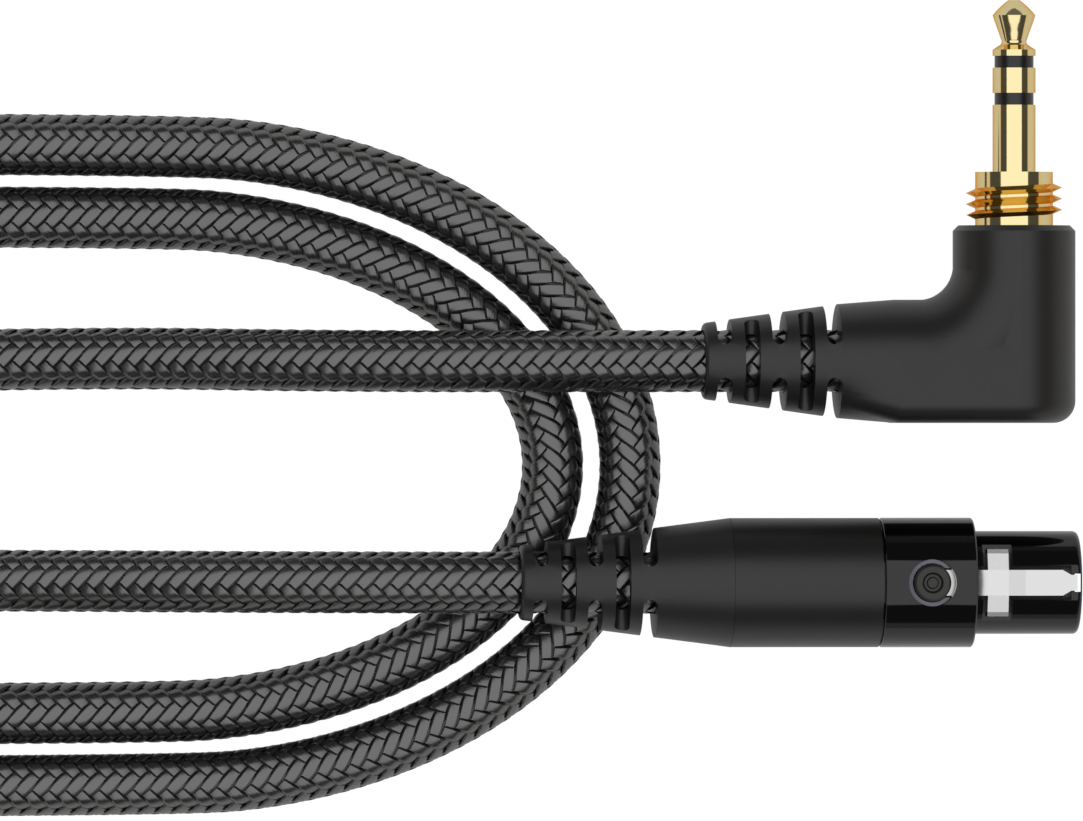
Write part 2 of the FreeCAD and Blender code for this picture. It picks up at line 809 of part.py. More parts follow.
def connector_insert():
    """The insulating insert, with its contact bores and the room that the latch and button need."""
    shoulder = -nose_length - step_depth
    body = lathe([
        (-insert_recess, 0),
        (-insert_recess, nose_bore_radius - seat_gap),
        (shoulder - seat_gap, nose_bore_radius - seat_gap),
        (shoulder - seat_gap, grip_bore_radius - seat_gap),
        (-insert_rear, grip_bore_radius - seat_gap),
        (-insert_rear, 0),
    ], "x")
    high = 2 * nose_radius
    groove_half = latch_width / 2 + slide_gap
    ledge_end = -insert_recess - ledge_length
    groove = block((-latch_reach - loose_gap, ledge_end), (-groove_half, groove_half), (groove_floor, high))
    ledge = block((ledge_end, 0), (-groove_half, groove_half), (latch_bottom - push_gap, high))
    window_half = wing_span / 2 + loose_gap
    pocket = block(
        (-wing_rear - loose_gap, -wing_front + loose_gap), (-window_half, window_half), (wing_floor, high)
    )
    spring_pocket_radius = spring_radius + spring_wire / 2 + slide_gap
    spring_room = rod(
        spring_pocket_radius, Vector(-button_at, 0, spring_seat_height), Vector(-button_at, 0, high)
    )
    button_room = rod(
        guide_radius + seat_gap, Vector(-button_at, 0, head_floor), Vector(-button_at, 0, high)
    )
    stem_end = button_foot - stem_length - button_travel - loose_gap
    guide = rod(stem_radius + stem_gap, Vector(-button_at, 0, stem_end), Vector(-button_at, 0, high))
    bores = [
        rod(
            contact_radius + seat_gap,
            on_circle(contact_circle_radius, degrees, 0),
            on_circle(contact_circle_radius, degrees, -insert_rear - cut_margin),
        )
        for degrees in contact_places()
    ]
    return body.cut([groove, ledge, pocket, spring_room, button_room, guide] + bores)


def contact(degrees):
    """One socket contact, bored at the front, with a solder cup at the back."""
    front = on_circle(contact_circle_radius, degrees, -contact_front)
    rear = on_circle(contact_circle_radius, degrees, -contact_rear)
    along = Vector(1, 0, 0)
    socket = rod(contact_bore_radius, front - along * contact_bore_depth, front)
    cup = rod(cup_radius, rear, rear + along * cup_depth)
    return rod(contact_radius, rear, front).cut([socket, cup])


def latch():
    """The sprung steel latch: a tongue with a narrow tail at the front and two wings."""
    half = latch_width / 2
    tail_half = latch_tail_width / 2
    tail_rear = latch_front + latch_tail_length
    taper_rear = tail_rear + latch_taper_length
    plan = prism([
        Vector(-latch_front, -tail_half, 0),
        Vector(-tail_rear, -tail_half, 0),
        Vector(-taper_rear, -half, 0),
        Vector(-latch_reach, -half, 0),
        Vector(-latch_reach, half, 0),
        Vector(-taper_rear, half, 0),
        Vector(-tail_rear, tail_half, 0),
        Vector(-latch_front, tail_half, 0),
    ], Vector(0, 0, 2 * nose_radius))
    rise = wing_top - latch_top
    top_line = [
        (-latch_front, latch_top),
        (latch_ramp_length - wing_front, latch_top),
        (-wing_front, latch_top + rise),
        (-wing_rear, latch_top + rise),
        (-nose_length, latch_top),
        (-latch_reach, latch_top),
    ]
    side = [Vector(x, -half, z) for x, z in top_line]
    side += [Vector(x, -half, z - latch_thickness) for x, z in reversed(top_line)]
    tongue = prism(side, Vector(0, latch_width, 0)).common(plan)
    span = wing_span / 2
    crown = [(0, wing_top), (half, wing_top), (span - latch_thickness, wing_top - wing_drop)]
    hook_end = wing_top - wing_drop - latch_thickness - wing_hook
    hook_start = wing_top - wing_drop - wing_edge_drop
    hook = [(span, hook_start), (span, hook_end), (span - latch_thickness, hook_end)]
    outer = [Vector(-wing_front, y, z) for y, z in crown + hook]
    inner = [Vector(-wing_front, y, z - latch_thickness) for y, z in reversed(crown)]
    across = Vector(wing_front - wing_rear, 0, 0)
    wing = prism(outer + inner, across)
    mirrored = wing.mirror(Vector(0, 0, 0), Vector(0, 1, 0))
    hole = rod(stem_radius + slide_gap, Vector(-button_at, 0, 0), Vector(-button_at, 0, 2 * nose_radius))
    return tongue.fuse([wing, mirrored]).cut(hole).removeSplitter()


def turned_upright(outline, at_x):
    """A solid turned about a line along Z at a place on the connector's axis."""
    corners = [Vector(radius, 0, height) for height, radius in outline]
    face = Part.Face(Part.makePolygon(corners + [corners[0]]))
    solid = Part.Solid(face.revolve(Vector(0, 0, 0), Vector(0, 0, 1), 360))
    solid.translate(Vector(-at_x, 0, 0))
    return solid


def button():
    """The round release button, dished on top, with the stem that guides it."""
    dish_floor = button_top - button_dish_depth
    return turned_upright([
        (button_foot - stem_length, 0),
        (button_foot - stem_length, stem_radius),
        (button_foot, stem_radius),
        (button_foot, button_boss_radius),
        (button_top - button_head_length, button_boss_radius),
        (button_top - button_head_length, button_radius),
        (button_top - button_edge, button_radius),
        (button_top, button_radius - button_edge),
        (button_top, button_dish_radius),
        (dish_floor, button_dish_radius - button_dish_slant),
        (dish_floor, button_nub_radius),
        (dish_floor + button_nub_height, button_nub_radius - button_nub_slant),
        (dish_floor + button_nub_height, 0),
    ], button_at)


def button_guide():
    """The ring that guides the button, open towards the front where the latch comes in."""
    low = head_floor + seat_gap
    high = math.sqrt(grip_radius ** 2 - guide_radius ** 2) - guide_inset
    foot = Vector(-button_at, 0, low)
    ring = tube(guide_radius, button_radius + push_gap, foot, Vector(-button_at, 0, high))
    notch_half = latch_width / 2 + slide_gap
    notch = block((-button_at, cut_margin - button_at + guide_radius), (-notch_half, notch_half), (low, high))
    return ring.cut(notch)


def button_spring():
    """The coil spring under the latch, round the button's stem, with its wire's ends cut flat."""
    low = spring_seat_height + seat_gap + spring_wire / 2
    high = latch_bottom - seat_gap - spring_wire / 2
    quarter_count = 4 * spring_turn_count
    rise = (high - low) / quarter_count
    stations = []
    for quarter in range(quarter_count + 1):
        angle = quarter * math.pi / 2
        outward = Vector(math.cos(angle), math.sin(angle), 0)
        onward = Vector(-math.sin(angle), math.cos(angle), 2 * rise / (math.pi * spring_radius))
        place = outward * spring_radius + Vector(-button_at, 0, low + quarter * rise)
        stations.append((place, onward.normalize()))
    path = path_through(stations)
    start, onward = stations[0]
    section = Part.Wire([Part.makeCircle(spring_wire / 2, start, onward)])
    coil = Part.Solid(path.makePipeShell([section], True, False))
    return coil


def connector_sleeve():
    """The hard sleeve that is pushed over the shell's spigot and the boot's front."""
    front = -grip_rear - seam_width
    rear = front - sleeve_length
    spigot_end = -grip_rear - spigot_length - seat_gap
    return lathe([
        (front, spigot_radius + seat_gap),
        (front, sleeve_radius),
        (rear, sleeve_radius),
        (rear, sleeve_bore_radius),
        (spigot_end, sleeve_bore_radius),
        (spigot_end, spigot_radius + seat_gap),
    ], "x")


def connector_boot():
    """The soft boot behind the sleeve: a spigot inside the sleeve, a cone and the slotted tail."""
    front = -boot_front
    cone_rear = front - boot_cone_length
    spigot = sleeve_bore_radius - seat_gap
    clamp_room = bore_radius + clamp_wall + seat_gap
    cone = lathe([
        (front + boot_spigot_length, clamp_room),
        (front + boot_spigot_length, spigot),
        (front, spigot),
        (front, sleeve_radius),
        (cone_rear, boot_base_radius),
        (cone_rear, bore_radius),
        (front - boot_cavity_depth, bore_radius),
        (front - boot_cavity_depth, clamp_room),
    ], "x")
    return cone.fuse(boot(cone_rear, boot_base_radius, connector_boot_end_radius)).removeSplitter()


def cable_clamp():
    """The crimped ring on the cable's end, seated at the bottom of the boot's pocket."""
    rear = -boot_front - boot_cavity_depth + seat_gap
    return tube(bore_radius + clamp_wall, bore_radius, Vector(rear, 0, 0), Vector(rear + clamp_length, 0, 0))


def connector_wire(degrees):
    """A wire from the cable's end into a contact's solder cup."""
    start = on_circle(wire_circle_radius, degrees, -connector_cable_start)
    end = on_circle(contact_circle_radius, degrees, -contact_rear + wire_insertion)
    lead_in = start + Vector(2 * wire_radius, 0, 0)
    lead_out = Vector(-contact_rear - 2 * wire_radius, end.y, end.z)
    return wire_along([start, lead_in, lead_out, end])


def save(name, shape, placement=None):
    """Write one solid to its STEP file, and say so where it isn't sound."""
    placed = shape.copy()
    if placement:
        placed.Placement = placement.multiply(placed.Placement)
    solids = placed.Solids
    if not placed.isValid() or len(solids) != 1:
        print(name, "valid", placed.isValid(), "solids", len(solids))
    (solids[0] if len(solids) == 1 else placed).exportStep("parts/" + name + ".step")


def report_cable(name, path, solid):
    """Print a tube's length and how its volume compares with its section times its length."""
    expected = math.pi * cable_radius * cable_radius * path.Length
    print(name, "length", round(path.Length, 1), "volume ratio", round(solid.Volume / expected, 5))


def main():
    """Build every piece and write it."""
    os.makedirs("parts", exist_ok=True)
    tip_band = pin_place(tip_length)
    ring_top = tip_band - band_length
    ring_band = ring_top - ring_length
    sleeve_tag_reach = tag_bend_radius + tag_thickness + slide_gap
    plug_pieces = {
        "jack_tip": jack_tip(),
        "tip_insulator": band_and_tube(
            tip_band, band_length, band_radius, tip_tube_radius, rod_radius + seat_gap, tip_tag_top
        ),
        "jack_ring": band_and_tube(
            ring_top, ring_length, pin_radius, ring_tube_radius, tip_tube_radius + seat_gap, ring_tag_bottom
        ),
        "ring_insulator": band_and_tube(
            ring_band, band_length, band_radius, cover_radius, ring_tube_radius + seat_gap, ring_tag_top
        ),
        "jack_sleeve": jack_sleeve(),
        "sleeve_tag": solder_tag(tag_stack_top, cover_radius + seat_gap, sleeve_tag_reach, sleeve_tag_deg),
        "ring_washer": washer(sleeve_tag_bottom, cover_radius + seat_gap),
        "ring_tag": solder_tag(ring_tag_top, ring_tube_radius + seat_gap, tag_bend_radius, ring_tag_deg),
        "tip_washer": washer(ring_tag_bottom, tip_tube_radius + seat_gap),
        "tip_tag": solder_tag(tip_tag_top, rod_radius + seat_gap, tag_bend_radius, tip_tag_deg),
        "plug_housing": plug_housing(),
        "elbow_cover": elbow_cover(),
        "plug_wire_ground": plug_wire(tag_stack_top, sleeve_tag_reach, sleeve_tag_deg, ground_wire_deg),
        "plug_wire_right": plug_wire(ring_tag_top, tag_bend_radius, ring_tag_deg, right_wire_deg),
        "plug_wire_left": plug_wire(tip_tag_top, tag_bend_radius, tip_tag_deg, left_wire_deg),
    }
    for name, shape in plug_pieces.items():
        save(name, shape, plug_placement)

    connector_pieces = {
        "connector_shell": connector_shell(),
        "connector_insert": connector_insert(),
        "latch": latch(),
        "button": button(),
        "button_guide": button_guide(),
        "button_spring": button_spring(),
        "connector_sleeve": connector_sleeve(),
        "connector_boot": connector_boot(),
        "cable_clamp": cable_clamp(),
    }
    for index, degrees in enumerate(contact_places(), 1):
        connector_pieces[f"contact_{index}"] = contact(degrees)
        connector_pieces[f"connector_wire_{index}"] = connector_wire(degrees)
    for name, shape in connector_pieces.items():
        save(name, shape, connector_placement)

    coil = path_through(coil_stations())
    paths = {"plug_lead": plug_run(), "cable_coil": coil, "connector_lead": connector_run()}
    for name, path in paths.items():
        solid = cable_along(path)
        report_cable(name, path, solid)
        save(name, solid)
    print("least gap of the coil to itself", round(least_gap([paths["cable_coil"]]), 2))
    print("least gap of the whole cable to itself", round(least_gap(paths.values()), 2))


main()
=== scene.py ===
"""Looks of a detachable headphone lead that lies on a table, wound in two long loops.

Lengths are metres in the frame's own axes: +Z up from the table, +Y the way the plug's pin points.
"""

from __future__ import annotations

import json
import logging
import math
from dataclasses import dataclass, field
from enum import Enum
from typing import Any, Mapping, Sequence, Union

import bpy
import numpy as np
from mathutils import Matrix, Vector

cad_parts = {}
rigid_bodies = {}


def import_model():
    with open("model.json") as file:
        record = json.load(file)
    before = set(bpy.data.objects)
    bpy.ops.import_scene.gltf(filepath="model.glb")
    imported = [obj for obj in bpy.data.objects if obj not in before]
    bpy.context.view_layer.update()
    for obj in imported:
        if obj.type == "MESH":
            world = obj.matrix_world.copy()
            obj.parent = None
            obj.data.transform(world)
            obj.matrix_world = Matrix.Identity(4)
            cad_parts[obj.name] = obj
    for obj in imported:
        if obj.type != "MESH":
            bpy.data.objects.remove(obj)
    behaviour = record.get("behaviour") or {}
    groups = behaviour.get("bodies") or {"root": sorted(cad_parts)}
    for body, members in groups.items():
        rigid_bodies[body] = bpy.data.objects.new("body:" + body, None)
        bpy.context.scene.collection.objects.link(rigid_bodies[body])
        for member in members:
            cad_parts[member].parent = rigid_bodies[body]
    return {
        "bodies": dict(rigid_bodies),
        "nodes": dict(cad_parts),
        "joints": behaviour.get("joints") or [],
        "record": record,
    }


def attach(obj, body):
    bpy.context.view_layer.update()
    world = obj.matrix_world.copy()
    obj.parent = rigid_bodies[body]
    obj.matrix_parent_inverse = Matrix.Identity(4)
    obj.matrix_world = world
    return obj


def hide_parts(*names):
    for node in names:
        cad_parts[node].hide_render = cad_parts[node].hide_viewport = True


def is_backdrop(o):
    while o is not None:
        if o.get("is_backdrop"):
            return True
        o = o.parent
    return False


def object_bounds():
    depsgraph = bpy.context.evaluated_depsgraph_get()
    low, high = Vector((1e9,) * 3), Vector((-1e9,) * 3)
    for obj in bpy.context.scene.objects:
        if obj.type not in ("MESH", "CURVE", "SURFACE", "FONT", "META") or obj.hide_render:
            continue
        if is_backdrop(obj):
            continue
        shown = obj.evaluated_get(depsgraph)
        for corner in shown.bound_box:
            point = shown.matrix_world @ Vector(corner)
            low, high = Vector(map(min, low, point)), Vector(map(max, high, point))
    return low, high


LOG = logging.getLogger("headphone_lead")
MM = 0.001
Colour = tuple[float, float, float]
Place = tuple[float, float, float]
Number = Union[float, "Value"]


# Shader nodes as expressions


class Value:
    """A number that runs through a node tree. Its operators add Math nodes."""

    def __init__(self, nodes: "NodeTree", socket: bpy.types.NodeSocket) -> None:
        """Hold a socket of the tree that `nodes` wraps."""
        self.nodes = nodes
        self.socket = socket

    def __add__(self, other: Number) -> "Value":
        """The sum of two numbers."""
        return self.nodes.math("ADD", self, other)

    __radd__ = __add__

    def __sub__(self, other: Number) -> "Value":
        """This number less another."""
        return self.nodes.math("SUBTRACT", self, other)

    def __rsub__(self, other: Number) -> "Value":
        """Another number less this one."""
        return self.nodes.math("SUBTRACT", other, self)

    def __mul__(self, other: Number) -> "Value":
        """The product of two numbers."""
        return self.nodes.math("MULTIPLY", self, other)

    __rmul__ = __mul__

    def __truediv__(self, other: Number) -> "Value":
        """This number over another."""
        return self.nodes.math("DIVIDE", self, other)

    def __rtruediv__(self, other: Number) -> "Value":
        """Another number over this one."""
        return self.nodes.math("DIVIDE", other, self)


class NodeTree:
    """A material's or a world's node tree, emptied and ready to build."""

    def __init__(self, owner: Union[bpy.types.Material, bpy.types.World]) -> None:
        """Take over the owner's tree."""
        owner.use_nodes = True
        self.tree = owner.node_tree
        self.tree.nodes.clear()

    def add(
        self,
        kind: str,
        settings: Mapping[str, Any] | None = None,
        inputs: Mapping[Union[str, int], Any] | None = None,
    ) -> bpy.types.Node:
        """Add one node.

        Args:
            kind: The node's type, as Blender names it.
            settings: Its own properties, such as a Math node's operation, which are set first.
            inputs: Values or links for its sockets, by name or place.

        Returns:
            The node.
        """
        node = self.tree.nodes.new(kind)
        for name, value in (settings or {}).items():
            setattr(node, name, value)
        for key, value in (inputs or {}).items():
            if isinstance(value, Value):
                self.tree.links.new(value.socket, node.inputs[key])
            else:
                node.inputs[key].default_value = value
        return node

    def value(self, node: bpy.types.Node, output: Union[str, int] = 0) -> Value:
        """One output of a node, as a value."""
        return Value(self, node.outputs[output])

    def math(self, operation: str, *terms: Number) -> Value:
        """A Math node on up to three terms."""
        return self.value(self.add("ShaderNodeMath", {"operation": operation}, dict(enumerate(terms))))

    def clamp(self, number: Number) -> Value:
        """A number held between 0 and 1."""
        limited = {"operation": "MULTIPLY", "use_clamp": True}
        return self.value(self.add("ShaderNodeMath", limited, {0: number, 1: 1.0}))

    def mix(self, share: Number, first: Any, second: Any) -> Value:
        """The first colour turned towards the second by a share."""
        settings = {"data_type": "RGBA"}
        return self.value(self.add("ShaderNodeMix", settings, {0: share, 6: first, 7: second}), 2)

    def noise(self, place: Value, size: float, detail: float = 2.0) -> Value:
        """Noise from 0 to 1 on places in metres, with features of a size in metres."""
        inputs = {"Vector": place, "Scale": 1.0 / size, "Detail": detail, "Roughness": 0.5}
        return self.value(self.add("ShaderNodeTexNoise", {}, inputs))

    def stretched(self, place: Value, scale: Place) -> Value:
        """A place with each axis scaled."""
        return self.value(self.add("ShaderNodeMapping", {}, {"Vector": place, "Scale": scale}))

    def bump(self, height: Value, depth: float) -> Value:
        """A normal from a height, which is multiplied by a depth in metres."""
        return self.value(self.add("ShaderNodeBump", {}, {"Height": height, "Distance": depth}))

    def finish(self, shader: bpy.types.Node, output: str = "ShaderNodeOutputMaterial") -> None:
        """Lead a shader to the tree's output."""
        self.add(output, {}, {"Surface": self.value(shader)})


def opaque(colour: Colour) -> tuple[float, float, float, float]:
    """A colour with full alpha."""
    return (*colour, 1.0)


# Finishes


@dataclass(frozen=True)
class Moulding:
    """Black plastic or soft rubber with a fine grain and a roughness that drifts."""

    name: str
    colour: Colour
    roughness: float
    drift: float = 0.05
    grain: float = 0.12 * MM
    grain_depth: float = 0.002 * MM
    specular: float = 0.5
    mottle: float = 0.15
    cloud_size: float = 3.0 * MM
    cloud_detail: float = 3.0
    grain_detail: float = 1.0

    def material(self) -> bpy.types.Material:
        """Build the finish.

        Returns:
            The material.
        """
        material = bpy.data.materials.new(self.name)
        nodes = NodeTree(material)
        place = nodes.value(nodes.add("ShaderNodeTexCoord"), "Object")
        cloud = nodes.noise(place, self.cloud_size, self.cloud_detail)
        grain = nodes.noise(place, self.grain, self.grain_detail)
        darker = tuple((1.0 - self.mottle) * part for part in self.colour)
        inputs = {
            "Base Color": nodes.mix(cloud, opaque(darker), opaque(self.colour)),
            "Roughness": self.roughness + self.drift * (cloud - 0.5),
            "Specular IOR Level": self.specular,
            "Normal": nodes.bump(grain, self.grain_depth),
        }
        nodes.finish(nodes.add("ShaderNodeBsdfPrincipled", {}, inputs))
        return material


@dataclass(frozen=True)
class Lacquer:
    """High gloss black with a faint waviness."""

    name: str
    colour: Colour = (0.0015, 0.0015, 0.0015)
    roughness: float = 0.05
    specular: float = 0.48
    drift: float = 0.03
    wave_size: float = 1.5 * MM
    wave_depth: float = 0.0006 * MM

    def material(self) -> bpy.types.Material:
        """Build the finish.

        Returns:
            The material.
        """
        material = bpy.data.materials.new(self.name)
        nodes = NodeTree(material)
        place = nodes.value(nodes.add("ShaderNodeTexCoord"), "Object")
        wave = nodes.noise(place, self.wave_size)
        inputs = {
            "Base Color": opaque(self.colour),
            "Roughness": self.roughness + self.drift * wave,
            "Specular IOR Level": self.specular,
            "Normal": nodes.bump(wave, self.wave_depth),
        }
        nodes.finish(nodes.add("ShaderNodeBsdfPrincipled", {}, inputs))
        return material


@dataclass(frozen=True)
class Metal:
    """Plated or sheet metal, with an edge tint and marks that run along one axis."""

    name: str
    colour: Colour
    edge: Colour
    roughness: float
    marks: Place = (1.0, 1.0, 1.0)
    mark_size: float = 0.4 * MM
    mark_depth: float = 0.0003 * MM
    edge_share: float = 0.06
    drift: float = 0.04

    def material(self) -> bpy.types.Material:
        """Build the finish.

        Returns:
            The material.
        """
        material = bpy.data.materials.new(self.name)
        nodes = NodeTree(material)
        place = nodes.value(nodes.add("ShaderNodeTexCoord"), "Object")
        marks = nodes.noise(nodes.stretched(place, self.marks), self.mark_size)
        inputs = {
            "Base Color": nodes.mix(self.edge_share * marks, opaque(self.colour), opaque(self.edge)),
            "Specular Tint": opaque(self.edge),
            "Metallic": 1.0,
            "Roughness": self.roughness + self.drift * marks,
            "Normal": nodes.bump(marks, self.mark_depth),
        }
        nodes.finish(nodes.add("ShaderNodeBsdfPrincipled", {}, inputs))
        return material


@dataclass(frozen=True)
class Yarn:
    """Shiny flat strands of fine filaments, which follow the strand's own map.

    The map's first number counts the weave's waves and its second goes round each strand. The height is
    half the swell times a cosine of the waves, plus the depth times a noise of the filaments.
    """

    name: str
    colour: Colour
    shade: Colour
    roughness: float = 0.27
    filaments: float = 14.0
    depth: float = 0.012 * MM
    swell: float = 0.3 * MM
    refraction: float = 2.1
    streaks: float = 5.0
    patches: Place = (2.0, 0.8, 1.0)
    contrast: float = 1.6
    threshold: float = 1.1
    drift: float = 0.16

    def material(self) -> bpy.types.Material:
        """Build the finish.

        Returns:
            The material.
        """
        material = bpy.data.materials.new(self.name)
        nodes = NodeTree(material)
        strand = nodes.value(nodes.add("ShaderNodeUVMap", {"uv_map": StrandMesh.MAP}), "UV")
        fibres = nodes.stretched(strand, (self.streaks, self.filaments, 1.0))
        thread = nodes.value(nodes.add("ShaderNodeTexNoise", {}, {"Vector": fibres, "Scale": 1.0}))
        patch = nodes.stretched(strand, self.patches)
        cloud = nodes.value(nodes.add("ShaderNodeTexNoise", {}, {"Vector": patch, "Scale": 1.0}))
        parts = nodes.add("ShaderNodeSeparateXYZ", {}, {0: strand})
        wave = nodes.math("COSINE", 2.0 * math.pi * nodes.value(parts, 0))
        shape = 0.5 * self.swell * wave + self.depth * thread
        share = nodes.clamp(self.contrast * (thread + cloud) - self.threshold)
        inputs = {
            "Base Color": nodes.mix(share, opaque(self.shade), opaque(self.colour)),
            "Roughness": self.roughness + self.drift * (cloud - 0.5),
            "IOR": self.refraction,
            "Normal": nodes.bump(shape, 1.0),
        }
        nodes.finish(nodes.add("ShaderNodeBsdfPrincipled", {}, inputs))
        return material


@dataclass(frozen=True)
class Finishes:
    """Every finish on the lead."""

    soft_black: Moulding = Moulding("soft_black", (0.0135, 0.0135, 0.0135), 0.40, grain=0.1 * MM)
    satin_black: Moulding = Moulding("satin_black", (0.011, 0.011, 0.0108), 0.37, grain=0.09 * MM)
    gloss_black: Lacquer = Lacquer("gloss_black")
    black_band: Moulding = Moulding("black_band", (0.010, 0.010, 0.011), 0.30, grain=0.3 * MM)
    housing: Moulding = Moulding("housing_plastic", (0.035, 0.035, 0.040), 0.45)
    button: Moulding = Moulding("button_plastic", (0.015, 0.015, 0.0125), 0.38)
    washer: Moulding = Moulding("washer_plastic", (0.55, 0.50, 0.40), 0.45)
    gold: Metal = Metal("gold_plate", (0.80, 0.69, 0.375), (1.0, 0.55, 0.22), 0.05, (1.0, 12.0, 1.0))
    brass: Metal = Metal("tinned_brass", (0.70, 0.69, 0.64), (0.8, 0.79, 0.74), 0.28)
    steel: Metal = Metal("latch_steel", (0.61, 0.61, 0.61), (0.7, 0.7, 0.7), 0.24, (0.3, 4.0, 1.0))
    guide: Moulding = Moulding("guide_plastic", (0.23, 0.22, 0.29), 0.5)
    spring: Metal = Metal("spring_steel", (0.6, 0.6, 0.6), (0.7, 0.7, 0.7), 0.2)
    ground: Moulding = Moulding("ground_wire", (0.30, 0.16, 0.05), 0.4)
    right: Moulding = Moulding("right_wire", (0.42, 0.02, 0.02), 0.4)
    left: Moulding = Moulding("left_wire", (0.62, 0.61, 0.58), 0.4)
    jacket: Moulding = Moulding("cable_jacket", (0.004, 0.004, 0.004), 0.6)
    yarn: Yarn = Yarn("braid_yarn", (0.022, 0.022, 0.023), (0.006, 0.006, 0.006))


# The frame's pieces


class Frame:
    """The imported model, with the few places that the scene takes from it."""

    def __init__(self) -> None:
        """Load the model."""
        self.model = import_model()
        self.cad_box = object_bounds()
        self.mounts = {mount["name"]: mount for mount in self.model["record"]["mounts"]}

    def place(self, mount: str) -> np.ndarray:
        """A mount's place."""
        return np.array(self.mounts[mount]["pos_m"], float)

    def axis(self, mount: str) -> np.ndarray:
        """A mount's direction."""
        return np.array(self.mounts[mount]["axis"], float)

    def dress(self, finish: bpy.types.Material, nodes: Sequence[str]) -> None:
        """Give nodes a finish.

        Args:
            finish: The material.
            nodes: Names of the frame's nodes.
        """
        for name in nodes:
            node = self.model["nodes"][name]
            node.data.materials.clear()
            node.data.materials.append(finish)
            LOG.info("%s dressed in %s", name, finish.name)


@dataclass
class PlugSizes:
    """Where the plug's parts lie along its arm, and its tilt."""

    tilt_deg: float = 5.6
    boot_end: float = 25.5 * MM
    pin_height: float = 18.13 * MM


@dataclass
class ConnectorSizes:
    """Where the connector's contacts lie behind its front face."""

    contact_recess: float = 1.1 * MM


# The cable


def quarter_turn(start: np.ndarray, start_way: np.ndarray, end: np.ndarray, steps: int) -> np.ndarray:
    """Points of a quarter ellipse that leaves start along start_way and ends square to it.

    The plan is start + a sin t along the first way + b (1 - cos t) across it, and the height climbs evenly.

    Args:
        start: First point, in metres.
        start_way: Unit direction in plan at the start.
        end: Last point.
        steps: Number of equal angles in the quarter.

    Returns:
        The points after the start, as rows.
    """
    turn = np.linspace(0.0, math.pi / 2.0, steps + 1)[1:]
    reach = end - start
    along = start_way * float(reach[:2] @ start_way[:2])
    across = np.array([reach[0], reach[1], 0.0]) - along
    points = start + np.outer(np.sin(turn), along) + np.outer(1.0 - np.cos(turn), across)
    points[:, 2] = start[2] + reach[2] * turn / turn[-1]
    return points


